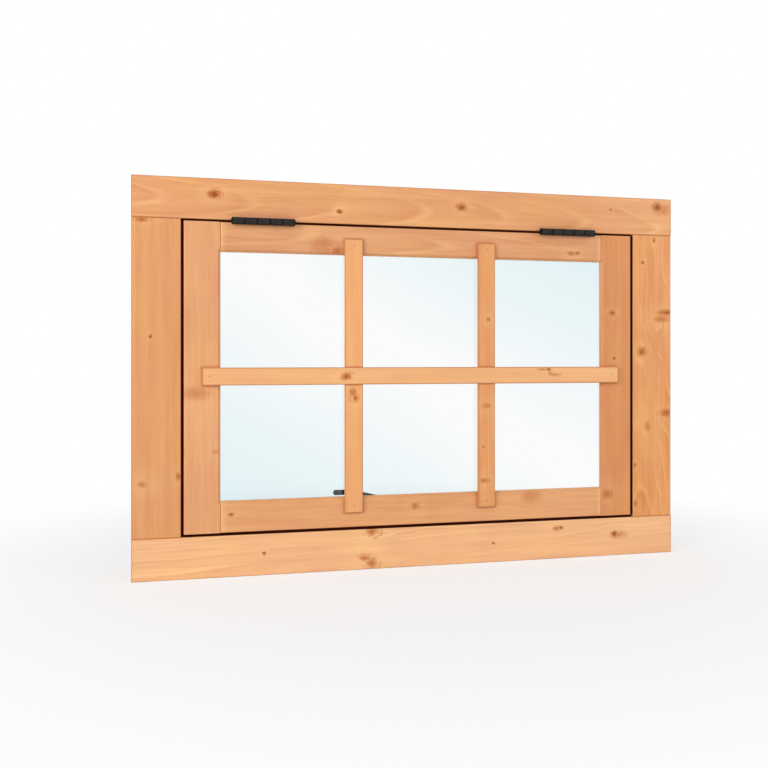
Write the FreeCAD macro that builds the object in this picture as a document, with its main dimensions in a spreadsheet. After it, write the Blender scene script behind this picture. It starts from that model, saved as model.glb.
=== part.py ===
"""Top hung awning window of stained spruce, closed.

A rebated frame holds one outward opening sash with a single sheet of glass. Two upright
glazing bars and one cross bar are planted on the sash's face, the sash hangs on two butt
hinges in the top gap, and a lever fastener on the bottom rail catches behind the sill.

Millimetres. The origin is at the middle of the sill's underside, +Z is up, +X is to the
right seen from outside, and the outside face looks along -Y.
"""
import FreeCAD, Part
import math
import os
import re
import Sketcher

# Driving dimensions
SIZES = (
    # Frame: head and sill run through, the jambs stand between them
    ("frame_width", "930"),
    ("frame_height", "630"),
    ("frame_depth", "58"),
    ("head_face", "65"),
    ("sill_face", "66"),
    ("jamb_face", "75"),
    ("stop_lap", "16"),
    ("frame_arris", "2"),
    # Sash: stiles run through, the rails sit between them
    ("side_gap", "4.2"),
    ("top_gap", "3.4"),
    ("bottom_gap", "4.4"),
    ("sash_setback", "0.5"),
    ("sash_thickness", "36"),
    ("stile_face", "57"),
    ("top_rail_face", "47"),
    ("bottom_rail_face", "50"),
    ("sash_arris", "2"),
    ("lip_bevel", "4"),
    # Glazing: the sheet lies against the front lip, the beads hold it from inside
    ("glass_setback", "7"),
    ("glass_thickness", "4"),
    ("glazing_rebate", "15"),
    ("glass_clearance", "3"),
    ("bead_setback", "4"),
    ("bead_depth", "11"),
    ("bead_bevel", "7"),
    # Glazing bars, halved into each other where they cross
    ("upright_width", "30"),
    ("upright_thickness", "6"),
    ("upright_lap", "25.8"),
    ("cross_width", "28"),
    ("cross_thickness", "8.5"),
    ("cross_lap", "28.4"),
    ("halving_depth", "2.5"),
    ("bar_arris", "2"),
    # Butt hinges
    ("hinge_inset", "74"),
    ("hinge_length", "100"),
    ("knuckle_diameter", "11.5"),
    ("knuckle_gap", "0.6"),
    ("barrel_clearance", "0.25"),
    ("pin_diameter", "6"),
    ("pin_clearance", "0.1"),
    ("pin_overhang", "1.5"),
    ("pin_chamfer", "0.8"),
    ("leaf_thickness", "2.5"),
    ("leaf_gap", "0.2"),
    ("leaf_reach", "36"),
    ("recess_clearance", "0.2"),
    # Lever fastener
    ("plate_length", "60"),
    ("plate_height", "18"),
    ("plate_thickness", "3"),
    ("plate_clearance", "1"),
    ("plate_rounding", "8"),
    ("boss_diameter", "14"),
    ("lever_diameter", "9"),
    ("lever_clearance", "0.3"),
    ("lever_rise", "26.5"),
    ("lever_reach", "141"),
    ("grip_length", "21.7"),
    ("lever_bend", "80"),
    ("lever_rounding", "4"),
    ("hub_diameter", "20"),
    ("nose_width", "13"),
    ("nose_overlap", "11"),
    ("pivot_diameter", "6"),
    ("pivot_clearance", "0.1"),
    ("pivot_depth", "10"),
    ("pivot_head_diameter", "12"),
    ("pivot_head_height", "3"),
    ("pivot_head_chamfer", "1.2"),
    ("keeper_length", "44"),
    ("keeper_height", "14"),
    ("keeper_thickness", "1.5"),
    ("keeper_drop", "1"),
    ("keeper_rounding", "3"),
)

# How close two lengths have to be to count as the same
TOLERANCE = 1e-4

# Levels and spans that follow from the driving dimensions
FORMULAS = (
    ("half_width", "frame_width / 2"),
    ("front", "-frame_depth / 2"),
    ("back", "frame_depth / 2"),
    ("sash_front", "front + sash_setback"),
    ("sash_back", "sash_front + sash_thickness"),
    ("sill_top", "sill_face"),
    ("head_bottom", "frame_height - head_face"),
    ("jamb_inner", "half_width - jamb_face"),
    ("sash_half", "jamb_inner - side_gap"),
    ("sash_bottom", "sill_top + bottom_gap"),
    ("sash_top", "head_bottom - top_gap"),
    ("sight_half", "sash_half - stile_face"),
    ("sight_bottom", "sash_bottom + bottom_rail_face"),
    ("sight_top", "sash_top - top_rail_face"),
    ("sight_middle", "(sight_bottom + sight_top) / 2"),
    ("rebate_half", "sight_half + glazing_rebate"),
    ("rebate_bottom", "sight_bottom - glazing_rebate"),
    ("rebate_top", "sight_top + glazing_rebate"),
    ("bead_half", "sight_half + bead_setback"),
    ("bead_low", "sight_bottom - bead_setback"),
    ("bead_high", "sight_top + bead_setback"),
    ("glass_front", "sash_front + glass_setback"),
    ("glass_back", "glass_front + glass_thickness"),
    ("upright_offset", "sight_half / 3 + upright_width / 6"),
    ("hinge_offset", "sash_half - hinge_inset - hinge_length / 2"),
    ("axis_depth", "front - barrel_clearance - knuckle_diameter / 2"),
    ("axis_height", "head_bottom - top_gap / 2"),
    ("leaf_near", "leaf_gap / 2"),
    ("leaf_far", "leaf_near + leaf_thickness"),
    ("leaf_let_in", "leaf_far - top_gap / 2"),
    ("leaf_back", "axis_depth + leaf_reach"),
    ("pitch", "hinge_length / 5"),
    ("slot_reach", "knuckle_diameter / 2 + barrel_clearance"),
    ("pivot_height", "sill_top + stop_lap + plate_clearance + plate_height / 2"),
    ("lever_front", "back + keeper_thickness + lever_clearance"),
    ("lever_middle", "lever_front + lever_diameter / 2"),
    ("lever_back", "lever_front + lever_diameter"),
    ("boss_back", "lever_front - lever_clearance"),
)

doc = FreeCAD.newDocument("AwningWindow")
sheet = doc.addObject("Spreadsheet::Sheet", "Sizes")
for row, (alias, text) in enumerate(SIZES, 1):
    sheet.set(f"A{row}", alias)
    sheet.set(f"B{row}", text)
    sheet.setAlias(f"B{row}", alias)
for row, (alias, text) in enumerate(FORMULAS, len(SIZES) + 1):
    sheet.set(f"A{row}", alias)
    sheet.set(f"B{row}", f"={text}")
    sheet.setAlias(f"B{row}", alias)
doc.recompute()


def formula(text):
    """Expression with each size name looked up in the sheet."""
    return re.sub(r"[a-z_]+", lambda word: f"Sizes.{word.group()}", text)


def level(text):
    """Present value of an expression over the size names."""
    return float(sheet.evalExpression(formula(text)))


def bind(thing, field, text):
    """Tie one property of a feature to an expression over the size names."""
    thing.setExpression(field, formula(text))


def new_body(label, place=("0", "0", "0")):
    """Body of one sub-part, with its own origin at a named place."""
    body = doc.addObject("PartDesign::Body", label)
    body.Label = label
    for axis, text in zip("xyz", place):
        bind(body, f"Placement.Base.{axis}", text)
    return body


def new_sketch(body, plane, offset):
    """Empty sketch on one of the body's origin planes, moved along its normal."""
    sketch = body.newObject("Sketcher::SketchObject", "Sketch")
    support = next(item for item in body.Origin.OriginFeatures if item.Role == plane)
    sketch.AttachmentSupport = [(support, "")]
    sketch.MapMode = "FlatFace"
    bind(sketch, "AttachmentOffset.Base.z", offset)
    return sketch


def pin_point(sketch, piece, end, place):
    """Fix one point of a sketch by two expressions."""
    for kind, text in zip(("DistanceX", "DistanceY"), place):
        rule = Sketcher.Constraint(kind, -1, 1, piece, end, level(text))
        bind(sketch, f"Constraints[{sketch.addConstraint(rule)}]", text)


def draw_loop(sketch, corners):
    """Closed straight-sided loop through corners given as pairs of expressions."""
    points = [FreeCAD.Vector(level(across), level(along), 0) for across, along in corners]
    first = sketch.GeometryCount
    last = first + len(points) - 1
    for start, end in zip(points, points[1:] + points[:1]):
        sketch.addGeometry(Part.LineSegment(start, end))
    for line in range(first, last + 1):
        following = first if line == last else line + 1
        sketch.addConstraint(Sketcher.Constraint("Coincident", line, 2, following, 1))
    for line, place in enumerate(corners, first):
        pin_point(sketch, line, 1, place)


def draw_circle(sketch, diameter, place=("0", "0")):
    """Circle with its centre given by two expressions."""
    centre = FreeCAD.Vector(level(place[0]), level(place[1]), 0)
    circle = Part.Circle(centre, FreeCAD.Vector(0, 0, 1), level(diameter) / 2)
    index = sketch.addGeometry(circle)
    pin_point(sketch, index, 3, place)
    rule = Sketcher.Constraint("Diameter", index, level(diameter))
    bind(sketch, f"Constraints[{sketch.addConstraint(rule)}]", diameter)


def rectangle(left, right, low, high):
    """Corners of an upright rectangle."""
    return (left, low), (right, low), (right, high), (left, high)


def pad(body, sketch, length, reverse=False):
    """Add material along the sketch's normal."""
    feature = body.newObject("PartDesign::Pad", "Pad")
    feature.Profile = sketch
    feature.Reversed = reverse
    bind(feature, "Length", length)
    doc.recompute()
    return feature


def pocket(body, sketch, length, reverse=False, taper=0):
    """Take material away against the sketch's normal, and make sure that some went."""
    before = body.Shape.Volume
    feature = body.newObject("PartDesign::Pocket", "Pocket")
    feature.Profile = sketch
    feature.Reversed = reverse
    feature.TaperAngle = taper
    bind(feature, "Length", length)
    doc.recompute()
    if not body.Shape.Volume < before:
        raise RuntimeError(f"{body.Label}: a pocket cut nothing")
    return feature


def edges_where(feature, test):
    """Names of the feature's edges for which the test holds."""
    named = enumerate(feature.Shape.Edges, 1)
    return [f"Edge{number}" for number, edge in named if test(edge)]


def soften(body, base, test, kind, size):
    """Fillet or chamfer the edges for which the test holds."""
    feature = body.newObject(f"PartDesign::{kind}", kind)
    feature.Base = (base, edges_where(base, test))
    bind(feature, "Radius" if kind == "Fillet" else "Size", size)
    doc.recompute()
    return feature


def in_plane(edge, axis, *levels):
    """True if the whole edge lies at one of the levels along an axis, 0 for X to 2 for Z."""
    box = edge.BoundBox
    low = (box.XMin, box.YMin, box.ZMin)[axis]
    high = (box.XMax, box.YMax, box.ZMax)[axis]
    return any(abs(low - place) < TOLERANCE and abs(high - place) < TOLERANCE for place in levels)


def slab(body, corners, near, thickness):
    """Board with a given face outline, from a depth towards the inside."""
    sketch = new_sketch(body, "XZ_Plane", f"-({near})")
    draw_loop(sketch, corners)
    return pad(body, sketch, thickness, reverse=True)


def rebated_member(label, face, rear, step, arris, longer_than="0"):
    """Timber member with a front part and a stepped rear part behind it.

    The two parts differ in outline, which makes the rebate along the member and the
    scribed shoulders at its ends. The edges of the outer and inner faces that are
    longer than the given length are rounded.
    """
    near, middle, far = step
    body = new_body(label)
    slab(body, face, near, f"{middle} - {near}")
    base = slab(body, rear, middle, f"{far} - {middle}")
    faces = (level(near), level(far))
    shortest = level(longer_than)
    soften(
        body,
        base,
        lambda edge: in_plane(edge, 1, *faces) and edge.Length > shortest + TOLERANCE,
        "Fillet",
        arris,
    )


def frame_members():
    """Head, sill and jambs, with the stop that the sash closes against."""
    step = ("front", "sash_back", "back")
    low_lip = "sill_top + stop_lap"
    high_lip = "head_bottom - stop_lap"
    wide = ("-half_width", "half_width")
    rebated_member(
        "frame_head",
        rectangle(*wide, "head_bottom", "frame_height"),
        rectangle(*wide, high_lip, "frame_height"),
        step, "frame_arris", "head_face + stop_lap",
    )
    rebated_member(
        "frame_sill",
        rectangle(*wide, "0", "sill_top"),
        rectangle(*wide, "0", low_lip),
        step, "frame_arris", "sill_face + stop_lap",
    )
    for side, sign in (("left", "-"), ("right", "")):
        outer = f"{sign}half_width"
        rebated_member(
            f"{side}_jamb",
            rectangle(outer, f"{sign}jamb_inner", "sill_top", "head_bottom"),
            rectangle(outer, f"{sign}(jamb_inner - stop_lap)", low_lip, high_lip),
            step, "frame_arris", "jamb_face + stop_lap",
        )


def sash_members():
    """Stiles and rails, rebated at the back for the glass."""
    step = ("sash_front", "glass_front", "sash_back")
    for side, sign in (("left", "-"), ("right", "")):
        outer = f"{sign}sash_half"
        rebated_member(
            f"sash_{side}_stile",
            rectangle(outer, f"{sign}sight_half", "sash_bottom", "sash_top"),
            rectangle(outer, f"{sign}rebate_half", "sash_bottom", "sash_top"),
            step, "sash_arris", "stile_face",
        )
    for side, outer in (("top", "sash_top"), ("bottom", "sash_bottom")):
        rebated_member(
            f"sash_{side}_rail",
            rectangle("-sight_half", "sight_half", f"sight_{side}", outer),
            rectangle("-rebate_half", "rebate_half", f"rebate_{side}", outer),
            step, "sash_arris",
        )


def lip_bevels():
    """Bevel round the front of the sight opening, mitred in the corners across stiles and rails."""
    outline = rectangle(
        "-sight_half - lip_bevel", "sight_half + lip_bevel",
        "sight_bottom - lip_bevel", "sight_top + lip_bevel",
    )
    for label in ("sash_left_stile", "sash_right_stile", "sash_top_rail", "sash_bottom_rail"):
        body = doc.getObject(label)
        sketch = new_sketch(body, "XZ_Plane", "-(sash_front)")
        draw_loop(sketch, outline)
        pocket(body, sketch, "lip_bevel", taper=-45)


def hinge_recesses():
    """Shallow seats for the hinge leaves in the head and in the sash's top rail."""
    half = "(hinge_length / 2 + recess_clearance)"
    seats = (("frame_head", "head_bottom", True), ("sash_top_rail", "sash_top", False))
    for label, height, upward in seats:
        body = doc.getObject(label)
        sketch = new_sketch(body, "XY_Plane", height)
        for middle in ("-hinge_offset", "hinge_offset"):
            draw_loop(
                sketch,
                rectangle(
                    f"{middle} - {half}", f"{middle} + {half}",
                    "axis_depth", "leaf_back + recess_clearance",
                ),
            )
        pocket(body, sketch, "leaf_let_in", reverse=upward)


def glass_pane():
    """One sheet of glass, clear of the rebate all round."""
    half = "rebate_half - glass_clearance"
    low = "rebate_bottom + glass_clearance"
    high = "rebate_top - glass_clearance"
    outline = rectangle(f"-({half})", half, low, high)
    slab(new_body("glass_pane"), outline, "glass_front", "glass_thickness")


def glazing_beads():
    """Mitred beads behind the glass, clear of the sight line and bevelled towards the room."""
    outer = rectangle("-rebate_half", "rebate_half", "rebate_bottom", "rebate_top")
    inner = rectangle("-bead_half", "bead_half", "bead_low", "bead_high")
    room_side = level("glass_back + bead_depth")
    sides = ("bottom", "right", "top", "left")
    edges = (level("bead_low"), level("bead_half"), level("bead_high"), level("-bead_half"))
    for index, side in enumerate(sides):
        following = (index + 1) % len(sides)
        corners = (outer[index], outer[following], inner[following], inner[index])
        body = new_body(f"bead_{side}")
        base = slab(body, corners, "glass_back", "bead_depth")
        axis = 2 if side in ("bottom", "top") else 0
        soften(
            body,
            base,
            lambda edge: in_plane(edge, 1, room_side) and in_plane(edge, axis, edges[index]),
            "Chamfer",
            "bead_bevel",
        )


def glazing_bars():
    """Two uprights, notched at the front, and a cross bar notched over them at the back."""
    half = "upright_width / 2"
    rise = "cross_width / 2"
    for side, middle in (("left", "-upright_offset"), ("right", "upright_offset")):
        body = new_body(f"upright_bar_{side}")
        outline = rectangle(
            f"{middle} - {half}", f"{middle} + {half}",
            "sight_bottom - upright_lap", "sight_top + upright_lap",
        )
        base = slab(body, outline, "sash_front - upright_thickness", "upright_thickness")
        face = level("sash_front - upright_thickness")
        soften(body, base, lambda edge: in_plane(edge, 1, face), "Fillet", "bar_arris")
        notch = new_sketch(body, "XZ_Plane", "upright_thickness - sash_front")
        draw_loop(
            notch,
            rectangle(
                f"{middle} - upright_width", f"{middle} + upright_width",
                f"sight_middle - {rise}", f"sight_middle + {rise}",
            ),
        )
        pocket(body, notch, "halving_depth")
    body = new_body("cross_bar")
    outline = rectangle(
        "-sight_half - cross_lap", "sight_half + cross_lap",
        f"sight_middle - {rise}", f"sight_middle + {rise}",
    )
    base = slab(body, outline, "sash_front - cross_thickness", "cross_thickness")
    face = level("sash_front - cross_thickness")
    soften(body, base, lambda edge: in_plane(edge, 1, face), "Fillet", "bar_arris")
    notch = new_sketch(body, "XZ_Plane", "-(sash_front)")
    for middle in ("-upright_offset", "upright_offset"):
        draw_loop(
            notch,
            rectangle(
                f"{middle} - {half}", f"{middle} + {half}",
                "sight_middle - cross_width", "sight_middle + cross_width",
            ),
        )
    pocket(body, notch, "upright_thickness - halving_depth", reverse=True)


def hinge_leaf(label, place, near, slots):
    """Leaf with its row of rolled knuckles, cut away where the other leaf's knuckles turn."""
    body = new_body(label, place)
    plate = new_sketch(body, "XY_Plane", near)
    draw_loop(plate, rectangle("-hinge_length / 2", "hinge_length / 2", "0", "leaf_reach"))
    pad(body, plate, "leaf_thickness")
    barrel = new_sketch(body, "YZ_Plane", "-hinge_length / 2")
    draw_circle(barrel, "knuckle_diameter")
    pad(body, barrel, "hinge_length")
    cut = new_sketch(body, "XY_Plane", "knuckle_diameter")
    for number in slots:
        middle = f"{number} * pitch"
        half = "(pitch + knuckle_gap) / 2"
        draw_loop(
            cut,
            rectangle(f"{middle} - {half}", f"{middle} + {half}", "-knuckle_diameter", "slot_reach"),
        )
    pocket(body, cut, "2 * knuckle_diameter")
    bore = new_sketch(body, "YZ_Plane", "hinge_length / 2")
    draw_circle(bore, "pin_diameter + 2 * pin_clearance")
    pocket(body, bore, "hinge_length")


def hinge_pin(label, place):
    """Plain pin with chamfered tips that show at both ends of the barrel."""
    body = new_body(label, place)
    section = new_sketch(body, "YZ_Plane", "-hinge_length / 2 - pin_overhang")
    draw_circle(section, "pin_diameter")
    base = pad(body, section, "hinge_length + 2 * pin_overhang")
    tip = level("hinge_length / 2 + pin_overhang")
    soften(body, base, lambda edge: in_plane(edge, 0, -tip, tip), "Chamfer", "pin_chamfer")


def hinges():
    """Two five knuckle butt hinges on one axis: three knuckles on the frame, two on the sash."""
    for side, middle in (("left", "-hinge_offset"), ("right", "hinge_offset")):
        place = (middle, "axis_depth", "axis_height")
        hinge_leaf(f"{side}_hinge_frame_leaf", place, "leaf_near", (-1, 1))
        hinge_leaf(f"{side}_hinge_sash_leaf", place, "-leaf_far", (-2, 0, 2))
        hinge_pin(f"{side}_hinge_pin", place)


def round_corners(body, base, reach, size):
    """Round the upright corners of a plate that is as wide as twice the reach."""
    half = level(reach)
    soften(
        body,
        base,
        lambda edge: in_plane(edge, 0, -half, half) and edge.BoundBox.YLength > edge.BoundBox.ZLength,
        "Fillet",
        size,
    )


def fastener_plate():
    """Oblong plate on the inside of the bottom rail, with the boss that carries the lever."""
    body = new_body("fastener_plate", ("0", "0", "pivot_height"))
    outline = rectangle(
        "-plate_length / 2", "plate_length / 2",
        "-plate_height / 2", "plate_height / 2",
    )
    base = slab(body, outline, "sash_back", "plate_thickness")
    round_corners(body, base, "plate_length / 2", "plate_rounding")
    boss = new_sketch(body, "XZ_Plane", "-(sash_back)")
    draw_circle(boss, "boss_diameter")
    pad(body, boss, "boss_back - sash_back", reverse=True)
    bore = new_sketch(body, "XZ_Plane", "-(boss_back)")
    draw_circle(bore, "pivot_diameter")
    pocket(body, bore, "pivot_depth", reverse=True)


def lever_spine(body):
    """Route of the lever's middle: up from the pivot, round one bend and level along the grip."""
    sketch = new_sketch(body, "XZ_Plane", "-(lever_middle)")
    grip_end = ("lever_diameter / 2 - lever_reach", "lever_rise")
    grip_start = ("lever_diameter / 2 - lever_reach + grip_length", "lever_rise")
    end, start = [
        FreeCAD.Vector(level(across), level(along), 0)
        for across, along in (grip_end, grip_start)
    ]
    radius = level("lever_bend")
    centre = start - FreeCAD.Vector(0, radius, 0)
    to_pivot = centre.Length
    lean = math.atan2(centre.y, -centre.x) + math.asin(radius / to_pivot)
    bend_end = centre + FreeCAD.Vector(math.sin(lean), math.cos(lean), 0) * radius
    middle = centre + FreeCAD.Vector(math.sin(lean / 2), math.cos(lean / 2), 0) * radius
    grip = sketch.addGeometry(Part.LineSegment(end, start))
    bend = sketch.addGeometry(Part.Arc(start, middle, bend_end))
    arm = sketch.addGeometry(Part.LineSegment(bend_end, FreeCAD.Vector()))
    bend_first, bend_last = (1, 2) if sketch.getPoint(bend, 1).isEqual(start, TOLERANCE) else (2, 1)
    sketch.addConstraint(Sketcher.Constraint("Tangent", grip, 2, bend, bend_first))
    sketch.addConstraint(Sketcher.Constraint("Tangent", bend, bend_last, arm, 1))
    sketch.addConstraint(Sketcher.Constraint("Coincident", arm, 2, -1, 1))
    pin_point(sketch, grip, 1, grip_end)
    pin_point(sketch, grip, 2, grip_start)
    rule = Sketcher.Constraint("Radius", bend, radius)
    bind(sketch, f"Constraints[{sketch.addConstraint(rule)}]", "lever_bend")
    return sketch


def fastener_lever():
    """Bent round bar with a hub on the pivot and a nose that reaches down behind the sill."""
    body = new_body("fastener_lever", ("0", "0", "pivot_height"))
    spine = lever_spine(body)
    section = new_sketch(body, "YZ_Plane", "lever_diameter / 2 - lever_reach")
    draw_circle(section, "lever_diameter", ("lever_middle", "lever_rise"))
    doc.recompute()
    bar = body.newObject("PartDesign::AdditivePipe", "Bar")
    bar.Profile = section
    bar.Spine = spine
    doc.recompute()
    tip = level("lever_diameter / 2 - lever_reach")
    soften(body, bar, lambda edge: in_plane(edge, 0, tip), "Fillet", "lever_rounding")
    nose = new_sketch(body, "XZ_Plane", "-(lever_front)")
    draw_loop(
        nose,
        rectangle(
            "-nose_width / 2", "nose_width / 2",
            "sill_top + stop_lap - nose_overlap - pivot_height", "0",
        ),
    )
    pad(body, nose, "lever_diameter", reverse=True)
    hub = new_sketch(body, "XZ_Plane", "-(lever_front)")
    draw_circle(hub, "hub_diameter")
    pad(body, hub, "lever_diameter", reverse=True)
    bore = new_sketch(body, "XZ_Plane", "-(lever_back)")
    draw_circle(bore, "pivot_diameter + 2 * pivot_clearance")
    pocket(body, bore, "lever_diameter", reverse=True)


def fastener_pivot():
    """Headed pin through the lever's hub into the boss."""
    body = new_body("fastener_pivot", ("0", "0", "pivot_height"))
    shank = new_sketch(body, "XZ_Plane", "pivot_depth - boss_back")
    draw_circle(shank, "pivot_diameter")
    pad(body, shank, "lever_back + pivot_clearance - boss_back + pivot_depth", reverse=True)
    head = new_sketch(body, "XZ_Plane", "-(lever_back + pivot_clearance)")
    draw_circle(head, "pivot_head_diameter")
    base = pad(body, head, "pivot_head_height", reverse=True)
    crown = level("lever_back + pivot_clearance + pivot_head_height")
    soften(body, base, lambda edge: in_plane(edge, 1, crown), "Chamfer", "pivot_head_chamfer")


def fastener_keeper():
    """Thin plate on the sill's inside, where the lever's nose bears."""
    body = new_body("fastener_keeper")
    high = "sill_top + stop_lap - frame_arris - keeper_drop"
    outline = rectangle("-keeper_length / 2", "keeper_length / 2", f"{high} - keeper_height", high)
    base = slab(body, outline, "back", "keeper_thickness")
    round_corners(body, base, "keeper_length / 2", "keeper_rounding")


def write_parts():
    """Check every feature and solid, then write one file for each sub-part."""
    doc.recompute()
    for item in doc.Objects:
        if {"Invalid", "Error"} & set(item.State):
            raise RuntimeError(f"{item.Label} failed: {item.State}")
    bodies = [item for item in doc.Objects if item.TypeId == "PartDesign::Body"]
    for body in bodies:
        if body.Shape.isNull() or not body.Shape.isValid() or len(body.Shape.Solids) != 1:
            raise RuntimeError(f"{body.Label} isn't one sound solid")
    os.makedirs("parts", exist_ok=True)
    for body in bodies:
        body.Shape.exportStep(f"parts/{body.Label}.step")
        print(f"{body.Label}: {body.Shape.Volume / 1000:.1f} cm3")


frame_members()
sash_members()
lip_bevels()
hinge_recesses()
glass_pane()
glazing_beads()
glazing_bars()
hinges()
fastener_plate()
fastener_lever()
fastener_pivot()
fastener_keeper()
write_parts()
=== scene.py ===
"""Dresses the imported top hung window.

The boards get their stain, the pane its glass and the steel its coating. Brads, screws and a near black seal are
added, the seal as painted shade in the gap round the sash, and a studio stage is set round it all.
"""

import math
from typing import NamedTuple

import bmesh
import bpy
from bpy.props import FloatProperty, FloatVectorProperty, PointerProperty
from mathutils import Matrix, Vector


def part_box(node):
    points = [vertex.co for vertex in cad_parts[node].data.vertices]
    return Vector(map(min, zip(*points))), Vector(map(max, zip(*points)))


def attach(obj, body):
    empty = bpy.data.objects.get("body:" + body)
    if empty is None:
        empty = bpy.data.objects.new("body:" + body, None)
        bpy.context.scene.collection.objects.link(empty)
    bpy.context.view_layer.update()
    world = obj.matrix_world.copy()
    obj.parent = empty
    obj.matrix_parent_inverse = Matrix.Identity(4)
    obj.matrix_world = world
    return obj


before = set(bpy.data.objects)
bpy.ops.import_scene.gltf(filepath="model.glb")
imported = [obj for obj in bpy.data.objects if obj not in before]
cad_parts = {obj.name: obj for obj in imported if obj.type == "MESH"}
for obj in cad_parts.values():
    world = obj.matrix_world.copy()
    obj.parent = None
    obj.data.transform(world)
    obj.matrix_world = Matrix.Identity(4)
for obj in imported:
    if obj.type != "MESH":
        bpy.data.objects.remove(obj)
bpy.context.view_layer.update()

bl_info = {
    "name": "Top hung window",
    "version": (1, 0, 0),
    "blender": (4, 5, 0),
    "location": "3D View > Sidebar > Window",
    "description": "Finishes, fixings and studio stage for a stained timber top hung window",
    "category": "Object",
}

MM = 0.001


def srgb(code):
    """Linear colour from an sRGB hex code."""
    parts = [int(code[i:i + 2], 16) / 255 for i in (1, 3, 5)]
    return tuple(p / 12.92 if p <= 0.04045 else ((p + 0.055) / 1.055) ** 2.4 for p in parts)


BLACK = srgb("#000000")
WHITE = srgb("#ffffff")
DUST = srgb("#595959")


def opaque(colour):
    """The colour with the alpha that colour sockets ask for."""
    return (*colour, 1.0)


def grey(level):
    """A linear grey, for a ramp that carries a number."""
    return (level,) * 3


def towards(colour, other, share):
    """The colour, moved by a share of the way to another."""
    return tuple(a + (b - a) * share for a, b in zip(colour, other))


def add(tree, kind, sockets=None, stops=None, **settings):
    """Adds one node with its settings, socket values, links and colour stops."""
    node = tree.nodes.new(kind)
    for name, value in settings.items():
        setattr(node, name, value)
    for key, value in (sockets or {}).items():
        if isinstance(value, bpy.types.Node):
            value = value.outputs[0]
        if isinstance(value, bpy.types.NodeSocket):
            tree.links.new(value, node.inputs[key])
        else:
            node.inputs[key].default_value = value
    if stops:
        ramp = node.color_ramp.elements
        while len(ramp) < len(stops):
            ramp.new(1.0)
        for element, (position, colour) in zip(ramp, stops):
            element.position = position
            element.color = opaque(colour)
    return node


def new_material(name):
    """A fresh material with its node tree and its Principled shader."""
    material = bpy.data.materials.new(name)
    material.use_nodes = True
    return material, material.node_tree, material.node_tree.nodes["Principled BSDF"]


def dress(node, material):
    """Gives a CAD piece its material."""
    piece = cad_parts[node]
    piece.data.materials.clear()
    piece.data.materials.append(material)


class Timber(NamedTuple):
    """One board, in the frame's own millimetres.

    heart is where the tree's heart was, across the board and behind it, and ring is the width of a year's growth. The
    growth lines wander, lean across the board and rise through it, and lines says how strongly they show. arris says
    how strongly the edges darken, partly from stain that gathers there and partly as painted shade. crossed_by is the
    bar that is halved across this one, with painted shade beside it, shoulders are the pieces that its ends meet, with
    a painted highlight near them, and planted are the bars that stand on its face, with a painted shadow round their
    feet.
    """

    node: str
    upright: bool
    heart: tuple
    ring: float
    wander: float
    lines: float
    lean: float = 0.0
    rise: float = 0.0
    knots: tuple = ()
    arris: float = 0.0
    crossed_by: str = ""
    shoulders: tuple = ()
    planted: tuple = ()


STILES = ("sash_left_stile", "sash_right_stile")
UPRIGHTS = ("upright_bar_left", "upright_bar_right")
CROSS_BAR = "cross_bar"

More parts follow.
